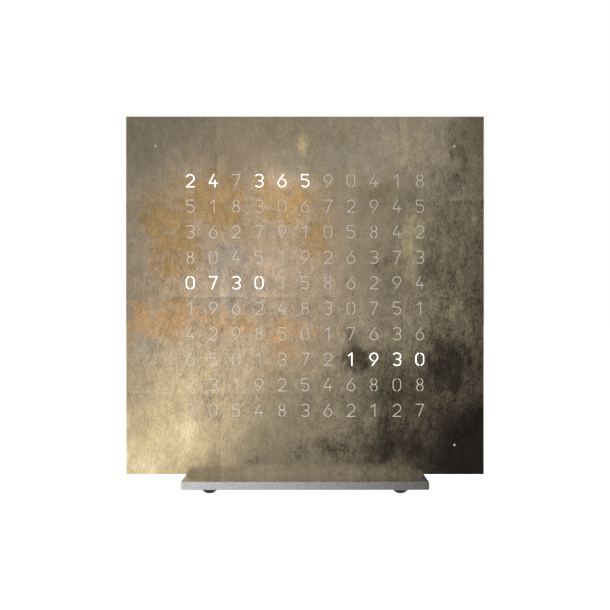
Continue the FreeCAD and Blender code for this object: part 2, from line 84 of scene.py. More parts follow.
world = bpy.data.worlds.new("surround")
world.use_nodes = True
scene.world = world
tree = world.node_tree
tree.nodes.clear()
ray = add(tree, "LightPath")
seen = add(tree, "Math", {0: ray.outputs["Is Camera Ray"], 1: ray.outputs["Is Glossy Ray"]},
           operation="MAXIMUM")
seen = add(tree, "Math", {0: seen.outputs[0], 1: ray.outputs["Is Transmission Ray"]},
           operation="MAXIMUM")
strength = add(tree, "MapRange", {"Value": seen.outputs[0], "To Min": surround_strength})
surround = add(tree, "Background", {"Color": (1, 1, 1, 1), "Strength": strength.outputs[0]})
add(tree, "OutputWorld", {"Surface": surround.outputs[0]})

floor_material = bpy.data.materials.new("floor_paper")
floor_material.use_nodes = True
tree = floor_material.node_tree
tree.nodes.clear()
ray = add(tree, "LightPath")
mirrored = add(tree, "Math", {0: ray.outputs["Is Glossy Ray"], 1: floor_mirrored}, operation="MULTIPLY")
strength = add(tree, "Math", {0: ray.outputs["Is Camera Ray"], 1: floor_lift, 2: mirrored.outputs[0]},
               operation="MULTIPLY_ADD")
paper = add(tree, "BsdfDiffuse", {"Color": linear(floor_colour)})
glow = add(tree, "Emission", {"Color": (1, 1, 1, 1), "Strength": strength.outputs[0]})
both = add(tree, "AddShader", {0: paper.outputs[0], 1: glow.outputs[0]})
add(tree, "OutputMaterial", {"Surface": both.outputs[0]})

floor_half = 6.0
floor_mesh = bpy.data.meshes.new("floor")
floor_mesh.from_pydata([(-floor_half, -floor_half, 0), (floor_half, -floor_half, 0),
                        (floor_half, floor_half, 0), (-floor_half, floor_half, 0)], [], [(0, 1, 2, 3)])
floor_mesh.materials.append(floor_material)
floor = bpy.data.objects.new("floor", floor_mesh)
scene.collection.objects.link(floor)

lamps = (("key_lamp", (-0.75, -1.05, 0.95), 0.9, 9.0),      # name, place, size, watts
         ("fill_lamp", (1.05, -0.75, 0.55), 0.8, 3.0),
         ("back_lamp", (0.35, 1.15, 0.85), 0.9, 8.0))
for name, place, size, watts in lamps:
    data = bpy.data.lights.new(name, "AREA")
    data.size = size
    data.energy = watts
    lamp = bpy.data.objects.new(name, data)
    lamp.location = place
    lamp.rotation_euler = (plate_middle - Vector(place)).to_track_quat("-Z", "Y").to_euler()
    lamp.visible_camera = False
    lamp.visible_glossy = False
    scene.collection.objects.link(lamp)


# Rubber feet
# Four stick-on polyurethane domes, cast near-black, with the faint orange peel of cast rubber.  They
# are stuck under the corners of the foot plate.
def finish(name, *node_names, **values):
    """New material on those nodes, with plain values for sockets of its shader.

    Returns its node tree, its place in millimetres and its shader.
    """
    material = bpy.data.materials.new(name)
    material.use_nodes = True
    tree = material.node_tree
    tree.nodes.clear()
    shader = add(tree, "BsdfPrincipled", values)
    add(tree, "OutputMaterial", {"Surface": shader.outputs[0]})
    place = add(tree, "TexCoord").outputs["Object"]
    place = add(tree, "VectorMath", {0: place, "Scale": 1000.0}, operation="SCALE").outputs[0]
    for node_name in node_names:
        nodes[node_name].material_slots[0].material = material
    return tree, place, shader


def grain(tree, place, size_mm, stretch=(1, 1, 1), lean=0.0, detail=2.0, roughness=0.5):
    """Pattern of one grain size, about 0.5, drawn out by the stretch along axes turned about Y."""
    drawn = add(tree, "Mapping", {"Vector": place, "Rotation": (0, math.radians(lean), 0),
                                  "Scale": [size_mm * s for s in stretch]}, vector_type="TEXTURE")
    return add(tree, "TexNoise", {"Vector": drawn.outputs[0], "Scale": 1.0, "Detail": detail,
                                  "Roughness": roughness}).outputs[0]


def tinted(tree, shader, pattern, dark, pale):
    """Base colour that goes from the dark tone to the pale one with the pattern; returns it."""
    tone = add(tree, "Mix", {0: pattern, 6: linear(dark), 7: linear(pale)}, data_type="RGBA").outputs[2]
    tree.links.new(tone, shader.inputs["Base Color"])
    return tone


def raised(tree, shader, pattern, depth_mm):
    """Relief in which the whole range of the pattern is that deep."""
    bump = add(tree, "Bump", {"Height": pattern, "Strength": 1.0, "Distance": depth_mm / 1000})
    tree.links.new(bump.outputs[0], shader.inputs["Normal"])


tree, place, shader = finish("cast_rubber", "rubber_feet", Roughness=0.5, IOR=1.52)
peel = grain(tree, place, 0.6)
tinted(tree, shader, peel, 0x1C1C1D, 0x303031)
raised(tree, shader, peel, 0.04)

# Foot plate
# Cut from 3 mm stainless sheet.  Its faces are ground with fine lines from front to back and then
# burnished, so the top mirrors what stands on it in a smeared way; its edges are bead blasted, with
# painted light at their left end that fades to painted shade at their right.  In front the top has
# painted shade on the left and painted light on the right, over its reflections, with a thin matt
# film at that end.
foot_half_mm = 45.0
line_mm, bead_mm = 0.35, 0.45             # real ones are 0.1 to 0.2 mm; drawn coarser so that they show
edge_slope, face_slope = 0.7, 0.95        # upward share of the normal, on the edges and on the faces
painted_edge_light = (1.26, 0.27)                # painted light and shade of the blasted edges, at their left and right ends
blasted_rough, burnished_rough = 0.5, 0.07
rough_drift = 0.06                        # most that the burnishing falls short
front_change_mm = (-12.0, -38.0)                  # depth at which the painted tone and the film of the top begin, and are full
dull_mm, dull_changes = (-46.0, -14.0), (-0.5, 0.12)    # painted shade: its span and its change of tone, on the left
bright_mm, bright_change = (5.0, 35.0), 0.2             # painted light: the same, on the right
film_mm, film_cover = (35.0, 44.0), 0.22

tree, place, shader = finish("ground_stainless", "foot_plate")
facing = add(tree, "SeparateXYZ", {0: add(tree, "NewGeometry").outputs["Normal"]})
flat = add(tree, "Math", {0: facing.outputs["Z"]}, operation="ABSOLUTE")
flat = add(tree, "MapRange", {"Value": flat.outputs[0], "From Min": edge_slope,
                              "From Max": face_slope}).outputs[0]
lines = grain(tree, place, line_mm, stretch=(1, 40, 1), detail=3.0)
beads = grain(tree, place, bead_mm)
drift = grain(tree, place, 14)
ground = add(tree, "Mix", {0: lines, 6: linear(0xB6B4AF), 7: linear(0xD4D2CD)}, data_type="RGBA")
blasted = add(tree, "Mix", {0: beads, 6: linear(0x4A4A4B), 7: linear(0xEFEFEF)}, data_type="RGBA")
spot = add(tree, "SeparateXYZ", {0: place})
# painted light on the blasted edges at the left end, fading to painted shade at the right
shade = add(tree, "MapRange", {"Value": spot.outputs["X"], "From Min": -foot_half_mm,
                               "From Max": foot_half_mm, "To Min": painted_edge_light[0],
                               "To Max": painted_edge_light[1]})
blasted = add(tree, "VectorMath", {0: blasted.outputs[2], "Scale": shade.outputs[0]}, operation="SCALE")
# painted shade on the left of the top's front and painted light on its right, over its reflections
forward = add(tree, "MapRange", {"Value": spot.outputs["Y"], "From Min": front_change_mm[0],
                                 "From Max": front_change_mm[1]})
dull = add(tree, "MapRange", {"Value": spot.outputs["X"], "From Min": dull_mm[0], "From Max": dull_mm[1],
                              "To Min": dull_changes[0], "To Max": dull_changes[1]})
bright = add(tree, "MapRange", {"Value": spot.outputs["X"], "From Min": bright_mm[0],
                                "From Max": bright_mm[1], "To Max": bright_change})
painted_tone_share = add(tree, "Math", {0: dull.outputs[0], 1: bright.outputs[0]}, operation="ADD")
painted_tone_share = add(tree, "Math", {0: painted_tone_share.outputs[0], 1: forward.outputs[0], 2: 1.0}, operation="MULTIPLY_ADD")
ground = add(tree, "VectorMath", {0: ground.outputs[2], "Scale": painted_tone_share.outputs[0]}, operation="SCALE")
tone = add(tree, "Mix", {0: flat, 6: blasted.outputs[0], 7: ground.outputs[0]}, data_type="RGBA")
tree.links.new(tone.outputs[2], shader.inputs["Base Color"])
rough = add(tree, "MapRange", {"Value": flat, "To Min": blasted_rough, "To Max": burnished_rough})
rough = add(tree, "Math", {0: drift, 1: rough_drift, 2: rough.outputs[0]}, operation="MULTIPLY_ADD")
tree.links.new(rough.outputs[0], shader.inputs["Roughness"])
relief = add(tree, "Mix", {0: flat, 2: beads, 3: lines})
raised(tree, shader, relief.outputs[0], 0.006)
film = add(tree, "MapRange", {"Value": spot.outputs["X"], "From Min": film_mm[0],
                              "From Max": film_mm[1], "To Max": film_cover})
film = add(tree, "Math", {0: film.outputs[0], 1: forward.outputs[0]}, operation="MULTIPLY")
film = add(tree, "Math", {0: film.outputs[0], 1: flat}, operation="MULTIPLY")
metal = add(tree, "Math", {0: 1.0, 1: film.outputs[0]}, operation="SUBTRACT")
tree.links.new(metal.outputs[0], shader.inputs["Metallic"])

# Side frame and foot block
# Aluminium, milled, glass-bead blasted and anodised black: matt and even, with a faint dry grain
# and a slightly greyer bloom where the blast was heavier.
blast_mm = 0.25              # real dimples are about 0.1 mm; drawn coarser so that they show

tree, place, shader = finish("black_anodised_aluminium", "side_frame", "foot_block", Metallic=0.35)
blast = grain(tree, place, blast_mm, detail=1.0)
bloom = grain(tree, place, 30, detail=3.0)
both = add(tree, "Math", {0: blast, 1: bloom}, operation="MULTIPLY")
tinted(tree, shader, both.outputs[0], 0x121214, 0x3C3C40)
raised(tree, shader, blast, 0.012)
rough = add(tree, "MapRange", {"Value": bloom, "To Min": 0.34, "To Max": 0.5})
tree.links.new(rough.outputs[0], shader.inputs["Roughness"])

# Screws
# Cold-headed steel.  The outside ones are black oxide over an oiled surface, and the ones that hold
# the light grid are zinc plated, with the cloudy bloom of the clear passivation.
tree, place, shader = finish("black_oxide_steel", "rear_screws", "foot_screws",
                             Metallic=0.9, Roughness=0.34)
rubbed = grain(tree, place, 0.5)
tinted(tree, shader, rubbed, 0x1B1A1A, 0x3A3836)
raised(tree, shader, rubbed, 0.01)

tree, place, shader = finish("zinc_plated_steel", "core_screws", Metallic=1.0, Roughness=0.3)
cloud = grain(tree, place, 1.5)
tinted(tree, shader, cloud, 0x9FA4AA, 0xC9CCCE)
raised(tree, shader, cloud, 0.008)

# Magnets and strike discs
# Sintered magnets under bright nickel, and turned steel discs under zinc.  Both are faced on a lathe,
# which leaves fine round-and-round lines about the middle of each of the four.
disc_radius_mm = 4.0
turning_mm = 0.25            # a real tool line is about 0.1 mm wide; drawn coarser so that it shows
disc_reach_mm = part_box("housing_magnets")[1].x * 1000 - disc_radius_mm
for name, node_name, dark, pale, rough in (
        ("nickel_plate", "housing_magnets", 0xA8A39A, 0xDAD6CE, 0.16),
        ("turned_zinc", "strike_discs", 0x969A9F, 0xCDD0D2, 0.28)):
    tree, place, shader = finish(name, node_name, Metallic=1.0, Roughness=rough)
    away = add(tree, "VectorMath", {0: place, 1: (0, 0, plate_middle.z * 1000)}, operation="SUBTRACT")
    away = add(tree, "VectorMath", {0: away.outputs[0]}, operation="ABSOLUTE")
    away = add(tree, "SeparateXYZ", {0: away.outputs[0]})
    out = add(tree, "Math", {0: away.outputs["X"], 1: away.outputs["Z"]}, operation="MAXIMUM")
    out = add(tree, "Math", {0: out.outputs[0], 1: disc_reach_mm}, operation="SUBTRACT")
    aside = add(tree, "Math", {0: away.outputs["X"], 1: away.outputs["Z"]}, operation="MINIMUM")
    radius = add(tree, "CombineXYZ", {0: out.outputs[0], 1: aside.outputs[0]})
    radius = add(tree, "VectorMath", {0: radius.outputs[0]}, operation="LENGTH")
    outward = add(tree, "CombineXYZ", {0: radius.outputs["Value"]})
    turning = grain(tree, outward.outputs[0], turning_mm)
    tinted(tree, shader, turning, dark, pale)
    raised(tree, shader, turning, 0.006)

# Board
# Glass-fibre laminate under green solder mask.  The cloth's weave shows faintly, and the copper tracks
# stand out paler under the mask, on a grid of half a tenth of an inch.
track_grid_mm = 1.27
track_half_mm = 0.16
weave_mm = 0.9               # real thread spacing is 0.5 mm; drawn coarser so that it shows
weave_height = 0.2           # against the height of a track

tree, place, shader = finish("masked_laminate", "led_board", Roughness=0.32, IOR=1.55)
cell = add(tree, "VectorMath", {0: place, 1: (1 / track_grid_mm, 0, 1 / track_grid_mm)},
           operation="MULTIPLY").outputs[0]
corner = add(tree, "VectorMath", {0: cell}, operation="FLOOR")
pick = add(tree, "TexWhiteNoise", {0: corner.outputs[0]}, noise_dimensions="3D")
way = add(tree, "Math", {0: pick.outputs["Value"], 1: 0.5}, operation="GREATER_THAN")
inside = add(tree, "VectorMath", {0: cell}, operation="FRACTION")
inside = add(tree, "SeparateXYZ", {0: inside.outputs[0]})
off = add(tree, "Mix", {0: way.outputs[0], 2: inside.outputs["X"], 3: inside.outputs["Z"]})
track = add(tree, "Math", {0: off.outputs[0], 1: 0.5, 2: track_half_mm / track_grid_mm},
            operation="COMPARE").outputs[0]
thread = add(tree, "VectorMath", {0: place, "Scale": 2 * math.pi / weave_mm}, operation="SCALE")
thread = add(tree, "VectorMath", {0: thread.outputs[0]}, operation="SINE")
thread = add(tree, "SeparateXYZ", {0: thread.outputs[0]})
thread = add(tree, "Math", {0: thread.outputs["X"], 1: thread.outputs["Z"]}, operation="MULTIPLY")
thread = add(tree, "MapRange", {"Value": thread.outputs[0], "From Min": -1.0}).outputs[0]
mask = add(tree, "Mix", {0: thread, 6: linear(0x123A28), 7: linear(0x1A4A34)}, data_type="RGBA")
tone = add(tree, "Mix", {0: track, 6: mask.outputs[2], 7: linear(0x2C6B4A)}, data_type="RGBA")
tree.links.new(tone.outputs[2], shader.inputs["Base Color"])
relief = add(tree, "Math", {0: thread, 1: weave_height, 2: track}, operation="MULTIPLY_ADD")
raised(tree, shader, relief.outputs[0], 0.03)

# Parts on the back of the board
# Transfer-moulded chips, drawn cans with their fine lines, and nylon switches, plungers, sounder and
# cell holder, all straight from the maker's tray.
tree, place, shader = finish("chip_epoxy", "microcontroller", "driver_chips", Roughness=0.55, IOR=1.56)
filler = grain(tree, place, 0.12)
tinted(tree, shader, filler, 0x151516, 0x2A2A2C)
raised(tree, shader, filler, 0.01)

tree, place, shader = finish("drawn_can_metal", "capacitors", "clock_crystal", "backup_cell",
                             Metallic=1.0, Roughness=0.25)
drawn = grain(tree, place, 0.2, stretch=(1, 12, 1))
tinted(tree, shader, drawn, 0xA5A6A8, 0xCFCFD0)
raised(tree, shader, drawn, 0.004)

button_names = ("hour", "minute", "brightness", "alarm")
tree, place, shader = finish("switch_nylon", "switch_bodies", "sounder", "cell_holder",
                             *[name + "_plunger" for name in button_names], Roughness=0.5, IOR=1.53)
mould = grain(tree, place, 0.3)
tinted(tree, shader, mould, 0x18181A, 0x2C2C2E)
raised(tree, shader, mould, 0.01)

# Light grid
# Injection-moulded black ABS, drawn from the tool along its cells, so its walls carry fine lines
# from front to back.
tree, place, shader = finish("grid_abs", "light_grid", Roughness=0.48, IOR=1.54)
draw_lines = grain(tree, place, 0.3, stretch=(1, 10, 1))
tinted(tree, shader, draw_lines, 0x141415, 0x242426)
raised(tree, shader, draw_lines, 0.012)

# Rear cover
# Moulded black ABS with a spark-eroded texture, dull, with a soft sparkle on the tips of its grain.
# Four screws close it on the lugs of the frame.
spark_mm = 0.35              # real grain is about 0.15 mm; drawn coarser so that it shows

tree, place, shader = finish("textured_abs", "rear_cover", IOR=1.54)
spark = grain(tree, place, spark_mm, detail=3.0)
tinted(tree, shader, spark, 0x131314, 0x29292B)
raised(tree, shader, spark, 0.06)
rough = add(tree, "MapRange", {"Value": spark, "To Min": 0.72, "To Max": 0.45})
tree.links.new(rough.outputs[0], shader.inputs["Roughness"])

# Set buttons
# Moulded in the same plastic as the cover but from a polished tool, so they are smoother and catch
# a ring of light round their dished ends.
tree, place, shader = finish("polished_abs", *[name + "_button" for name in button_names], IOR=1.54)
touch = grain(tree, place, 0.8)
tinted(tree, shader, touch, 0x1E1E20, 0x2E2E31)
raised(tree, shader, touch, 0.01)
rough = add(tree, "MapRange", {"Value": touch, "To Min": 0.22, "To Max": 0.4})
tree.links.new(rough.outputs[0], shader.inputs["Roughness"])

# Power socket
# Rolled stainless shell round a black insulating tongue, with gilt contacts along both of its sides.
# It stands on the board, and its mouth shows in an opening of the rear cover.
tongue_half_mm = Vector((3.5, 3.4, 0.45))
contact_pitch_mm = 0.5
contact_half_mm = 0.14
contact_span_mm = 2.9        # from the middle of the tongue to the outermost contact's edge

socket_low, socket_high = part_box("power_socket")
socket_middle_mm = (socket_low + socket_high) / 2 * 1000
tree, place, shader = finish("socket_stainless", "power_socket", Roughness=0.28)
rolled = grain(tree, place, 0.25, stretch=(1, 8, 1))
inside = add(tree, "Mapping", {"Vector": place, "Location": socket_middle_mm,
                               "Scale": tongue_half_mm}, vector_type="TEXTURE")
inside = add(tree, "VectorMath", {0: inside.outputs[0]}, operation="ABSOLUTE")
inside = add(tree, "SeparateXYZ", {0: inside.outputs[0]})
widest = add(tree, "Math", {0: inside.outputs["X"], 1: inside.outputs["Z"]}, operation="MAXIMUM")
tongue = add(tree, "Math", {0: widest.outputs[0], 1: 1.0}, operation="LESS_THAN")
across = add(tree, "SeparateXYZ", {0: place})
strip = add(tree, "Math", {0: across.outputs["X"], 1: contact_pitch_mm}, operation="PINGPONG")
strip = add(tree, "Math", {0: strip.outputs[0], 1: contact_half_mm}, operation="LESS_THAN")
near = add(tree, "Math", {0: across.outputs["X"]}, operation="ABSOLUTE")
near = add(tree, "Math", {0: near.outputs[0], 1: contact_span_mm}, operation="LESS_THAN")
contact = add(tree, "Math", {0: strip.outputs[0], 1: near.outputs[0]}, operation="MULTIPLY")
steel = add(tree, "Mix", {0: rolled, 6: linear(0xA6A6A8), 7: linear(0xCDCDCE)}, data_type="RGBA")
core = add(tree, "Mix", {0: contact.outputs[0], 6: linear(0x19191A), 7: linear(0xC9A24E)},
           data_type="RGBA")
tone = add(tree, "Mix", {0: tongue.outputs[0], 6: steel.outputs[2], 7: core.outputs[2]},
           data_type="RGBA")
metal = add(tree, "Mix", {0: tongue.outputs[0], 2: 1.0, 3: contact.outputs[0]})
tree.links.new(tone.outputs[2], shader.inputs["Base Color"])
tree.links.new(metal.outputs[0], shader.inputs["Metallic"])

# Lamps
# White surface-mount packages with a round window of yellow phosphor under clear resin.  Thirteen of
# them are lit, for the time that the clock shows.
matrix_margin_mm = 24.17     # edge of the front plate to the middle of the outermost numerals
columns, rows = 11, 10
lit_groups = ((0, 0, 1), (0, 3, 5), (4, 0, 3), (7, 7, 10))   # row, first column, last column
window_radius_mm, window_depth_mm = 1.1, 0.1
lamp_glow = 6.0
any_depth_mm = 1000          # on both sides, so that a place's depth doesn't count

plate_side_mm = (plate_high.x - plate_low.x) * 1000
matrix_side_mm = plate_side_mm - 2 * matrix_margin_mm
column_pitch_mm, row_pitch_mm = matrix_side_mm / (columns - 1), matrix_side_mm / (rows - 1)
first_column_mm = plate_low.x * 1000 + matrix_margin_mm
first_row_mm = plate_high.z * 1000 - matrix_margin_mm


def lit_cells(tree, place):
    """1 inside the cells that are lit and 0 elsewhere: a box test on X and Z for each group."""
    lit = 0.0
    for row, first, last in lit_groups:
        centre = (first_column_mm + (first + last) / 2 * column_pitch_mm, 0,
                  first_row_mm - row * row_pitch_mm)
        reach = ((last - first + 1) / 2 * column_pitch_mm, any_depth_mm, row_pitch_mm / 2)
        test = add(tree, "Mapping", {"Vector": place, "Location": centre, "Scale": reach},
                   vector_type="TEXTURE")
        test = add(tree, "VectorMath", {0: test.outputs[0]}, operation="ABSOLUTE")
        test = add(tree, "SeparateXYZ", {0: test.outputs[0]})
        test = add(tree, "Math", {0: test.outputs["X"], 1: test.outputs["Z"]}, operation="MAXIMUM")
        test = add(tree, "Math", {0: test.outputs[0], 1: 1.0}, operation="LESS_THAN")
        lit = add(tree, "Math", {0: lit, 1: test.outputs[0]}, operation="MAXIMUM").outputs[0]
    return lit


tree, place, shader = finish("lamp_package", "leds", Roughness=0.3)
first_lamp = (first_column_mm, 0, first_row_mm)
half_cell = Vector((column_pitch_mm / 2, any_depth_mm, row_pitch_mm / 2))
centred = add(tree, "VectorMath", {0: place, 1: first_lamp}, operation="SUBTRACT")
centred = add(tree, "VectorMath", {0: centred.outputs[0], 1: half_cell, 2: -half_cell},
              operation="WRAP")
flat = add(tree, "VectorMath", {0: centred.outputs[0], 1: (1, 0, 1)}, operation="MULTIPLY")
radius = add(tree, "VectorMath", {0: flat.outputs[0]}, operation="LENGTH")
window = add(tree, "Math", {0: radius.outputs["Value"], 1: window_radius_mm}, operation="LESS_THAN")
tinted(tree, shader, window.outputs[0], 0xE9E7E0, 0xE3C95A)
glow = add(tree, "Math", {0: lit_cells(tree, place), 1: window.outputs[0]}, operation="MULTIPLY")
glow = add(tree, "Math", {0: glow.outputs[0], 1: lamp_glow}, operation="MULTIPLY")
tree.links.new(glow.outputs[0], shader.inputs["Emission Strength"])
shader.inputs["Emission Color"].default_value = linear(0xFFFBF2)
raised(tree, shader, window.outputs[0], -window_depth_mm)

# Milky panel
# Cast acrylic, satin on its face, whose raised numerals and dots fill the cut-outs.  Unlit it is a
# pale warm cream, duller towards the right, the top and the corner dots.  A lit numeral glows plain
# white on its own, painted light that stands in for the lamp behind it.
unlit_across = (0.97, 0.70)               # share of its tone at the left numerals and the right ones
unlit_up = (1.10, 0.90)                   # and at the lowest ones and the highest
dot_span_mm = (-40.0, 70.0)               # of how far right and how high a corner dot is, added up
dot_shades = (0.92, 0.58)                 # share of the tone at the two ends of that
glow_start_mm = 0.05                      # from the back of the front plate
numeral_glow = 1.4

tree, place, shader = finish("milky_acrylic", "character_panel", Roughness=0.4, IOR=1.49)
haze = grain(tree, place, 0.4)
tone = tinted(tree, shader, haze, 0xDDD0C1, 0xEBE0D3)
spot = add(tree, "SeparateXYZ", {0: place})
right = add(tree, "MapRange", {"Value": spot.outputs["X"], "From Min": -matrix_side_mm / 2,
                               "From Max": matrix_side_mm / 2, "To Min": unlit_across[0],
                               "To Max": unlit_across[1]})
up = add(tree, "MapRange", {"Value": spot.outputs["Z"], "From Min": first_row_mm - matrix_side_mm,
                            "From Max": first_row_mm, "To Min": unlit_up[0], "To Max": unlit_up[1]})
dulled = add(tree, "Math", {0: right.outputs[0], 1: up.outputs[0]}, operation="MULTIPLY")
aside = add(tree, "Math", {0: spot.outputs["X"]}, operation="ABSOLUTE")
aside = add(tree, "Math", {0: aside.outputs[0], 1: matrix_side_mm / 2 + column_pitch_mm},
            operation="GREATER_THAN")
corner = add(tree, "Math", {0: spot.outputs["X"], 1: spot.outputs["Z"]}, operation="ADD")
corner = add(tree, "MapRange", {"Value": corner.outputs[0], "From Min": dot_span_mm[0],
                                "From Max": dot_span_mm[1], "To Min": dot_shades[0],
                                "To Max": dot_shades[1]})
dulled = add(tree, "Mix", {0: aside.outputs[0], 2: dulled.outputs[0], 3: corner.outputs[0]})
dulled = add(tree, "VectorMath", {0: tone, "Scale": dulled.outputs[0]}, operation="SCALE")
tree.links.new(dulled.outputs[0], shader.inputs["Base Color"])
raised(tree, shader, haze, 0.003)
# painted light: the lit numerals inside the plate glow by themselves
in_plate = add(tree, "Math", {0: spot.outputs["Y"], 1: plate_high.y * 1000 - glow_start_mm},
               operation="LESS_THAN")
glow = add(tree, "Math", {0: lit_cells(tree, place), 1: in_plate.outputs[0]}, operation="MULTIPLY")
glow = add(tree, "Math", {0: glow.outputs[0], 1: numeral_glow}, operation="MULTIPLY")
tree.links.new(glow.outputs[0], shader.inputs["Emission Strength"])
shader.inputs["Emission Color"].default_value = (1, 1, 1, 1)

# Front plate
# Laser-cut stainless sheet, laid with nearly square leaves of beaten metal, aged with a patina and
# rubbed back under clear lacquer.  Each leaf took the patina a little differently and its edges show
# as seams.  The cut edges and the back are left bare.  Painted into the leaf's tone are a painted
# highlight in the lower left corner, painted shade in the lower right, and a painted reflection of the
# foot along the lower edge.
leaf_mm = (34.4, 36.3)                    # what each leaf shows, across and up
leaf_corner_mm = (-32.0, 35.4)            # where four leaves meet, from the plate's middle
row_slip_mm = 2.5                         # most that one row is out of line with another
leaf_uptake = 0.05                        # most that a leaf takes more or less of a wash
leaf_lights = (0.94, 1.06)                # share of the light that the dullest and brightest leaf keeps
leaf_depth_mm = 0.02
base_tone = 0x7E7460
tones = (                                 # colour, middle, half size, amount
    (0xC2AA90, (-24, 14), (68, 64), 0.95),      # warm brass over the middle and left
    (0xC3AE8D, (-42, -30), (54, 40), 0.80),     # paler brass below it
    (0xD8C299, (-58, -60), (48, 38), 0.90),     # painted highlight, pale gold, in the lower left corner
    (0xA39376, (-70, -36), (22, 26), 0.95),     # duller at the left edge above it
    (0x82786A, (-80, 32), (34, 56), 0.80),      # grey along the left edge
    (0x988C78, (34, 58), (48, 26), 0.65),       # grey along the upper edge
    (0x4C4638, (80, -6), (56, 92), 1.00),       # olive down the right side
    (0x6A6150, (24, -80), (46, 48), 0.95),      # umber in the middle of the lower edge
    (0x3C372C, (36, -34), (26, 20), 0.75),      # darker between the two
    (0x15110B, (74, -64), (84, 74), 1.15),      # painted shade, nearly black, in the lower right corner
    (0x706758, (-68, 74), (56, 42), 0.85),      # grey in the upper left corner
    (0x57513F, (70, 64), (22, 38), 0.80),       # and in the upper right corner
    (0xA48C6C, (-24, 22), (24, 18), 0.55),      # duller brass in the ochre
    (0x7F705E, (-29, 51), (18, 14), 0.55),      # brown above it
    (0xD8BA98, (-8, 38), (14, 14), 0.85),       # and peach at its right
)
washes = (                                # colour, grain, stretch, lean, from, to, amount, places
    (0xA57D34, 6, 0.6, 8, 0.62, 1.24, 0.80, (   # ochre oxide
        ((-48, 20), (26, 44), 1.10), ((-57, 30), (17, 22), 1.00), ((-34, 34), (32, 24), 1.08),
        ((-8, 36), (34, 16), 1.0), ((2, 22), (20, 32), 0.9))),
    (0xC0905A, 4, 0.7, 4, 0.70, 1.14, 0.62, (   # orange oxide below it
        ((-50, -9), (26, 16), 1.05), ((-62, -9), (18, 20), 1.1), ((-28, -9), (34, 11), 1.1),
        ((-8, -13), (24, 10), 1.0), ((-8, -20), (18, 10), 0.9))),
    (0x6E5A38, 9, 1.0, 0, 0.78, 1.12, 0.60, (   # brown oxide
        ((30, 38), (30, 12), 1.0), ((-10, -30), (12, 14), 0.8), ((14, 60), (12, 16), 0.7))),
    (0x979086, 7, 1.4, 20, 0.80, 1.12, 0.65, (  # cool grey, where the oxide was rubbed off
        ((-30, 10), (56, 50), 1.0), ((10, 50), (48, 24), 0.9), ((-50, 55), (34, 26), 0.8),
        ((-60, -22), (16, 24), 1.0), ((-20, -40), (36, 16), 0.6))),
    (0xEBD8B2, 9, 2.4, 4, 0.80, 1.08, 0.75, (   # pale gold painted highlight, over the lower left
        ((-46, -56), (13, 26), 1.1), ((-58, -66), (18, 14), 1.0), ((-34, -26), (26, 18), 0.6),
        ((-20, -2), (34, 8), 0.6))),
    (0xA99C7C, 5, 2.2, 0, 0.74, 1.08, 0.70, (   # dull olive gold on the right
        ((38, 58), (22, 20), 0.9), ((40, 20), (12, 34), 1.0), ((56, -8), (22, 18), 0.5),
        ((20, 44), (22, 16), 0.7))),
    (0x17130E, 7, 1.8, 0, 0.74, 1.10, 0.85, (   # dark stains
        ((56, -26), (26, 22), 1.0), ((19, -22), (18, 20), 0.90), ((31, -54), (35, 21), 1.0),
        ((60, -58), (40, 34), 1.0), ((56, 48), (17, 36), 0.85), ((30, 12), (14, 18), 0.8),
        ((50, 12), (16, 22), 0.8), ((5, -58), (16, 13), 0.75))),
    (0x17130E, 0.8, 1.2, 0, 0.80, 1.10, 0.80, (   # pits
        ((-4, -60), (14, 11), 0.9), ((-18, -62), (8, 5), 0.9), ((12, -58), (16, 12), 0.9),
        ((24, -24), (16, 18), 0.7), ((-28, -30), (40, 30), 0.3))),
)
rim_at, rim_width = 0.90, 0.03            # where in its spread the ochre has a dark rim, and how wide
rim_colour, rim_amount = 0x86622C, 0.4
flake_colour, flake_amount = 0xC4AC84, 0.8
flakes = (((-1, 57), (3.2, 6.5)), ((-29, -47), (3.2, 3.6)), ((-37, -30), (4, 3)))   # middle, half size
lap = ((-7.0, 1.0), (-0.5, 0.80), (-0.2, 0.70), (0.15, 0.84), (0.5, 1.26), (4.5, 1.0))   # mm, light
wear_grain_mm = 8
wear_span = (0.42, 0.60)                  # noise at which a seam is worn away, and at which it is whole
seam_least = 0.15                         # share of a seam that shows outside these ovals
seam_ovals = (                            # middle, half size, amount
    ((-18, -1), (46, 12), 1.10), ((-52, -37), (34, 14), 0.55), ((-12, -37), (26, 8), 0.50),
    ((58, 35), (18, 10), 2.50), ((36, 60), (12, 22), 0.80), ((-34, -62), (10, 26), 0.90),
    ((56, -1), (20, 10), 2.00), ((36, -20), (12, 40), 0.60), ((-34, 50), (10, 26), 0.50),
)
# Real brush lines, cloth marks and grit are 0.1 to 0.3 mm; they are drawn coarser so that they show
layers = (                                # grain, stretch, lean, detail, amount
    (0.42, (1, 1, 9), 0, 2.0, 0.60),      # lines of the brush, down the plate
    (0.50, (1, 1, 5), 36, 1.0, 0.60),     # fibre marks of the cloth that it was rubbed with
    (0.50, (1, 1, 5), -40, 1.0, 0.60),
    (0.62, (1, 1, 1.2), 0, 3.0, 0.90),    # grit
    (2.20, (1, 1, 1.7), 5, 4.0, 0.80),    # mottling
    (9.00, (1, 1, 1.4), 0, 4.0, 0.45),    # clouds
)
contrast_base = 0.66                      # of the layers, at the upper edge
contrast_ovals = (                        # middle, half size, more contrast
    ((-25, -10), (70, 70), 0.45),
    ((50, -45), (62, 60), 1.80),
    ((62, 14), (38, 74), 1.20),
)
crack_grain_mm, crack_stretch, crack_lean = 9, (1, 1, 5), 17
crack_width, crack_dark = 0.010, 0.30     # of the noise about its middle, and of the light
crack_oval = ((-32, -28), (44, 42), 1.3)
specks = (                                # spacing, size against spacing, share kept, change
    (2.6, 0.17, 0.28, -0.30),
    (3.1, 0.15, 0.22, 0.28),
)
lacquer_rough, mill_rough = (0.12, 0.22), 0.38

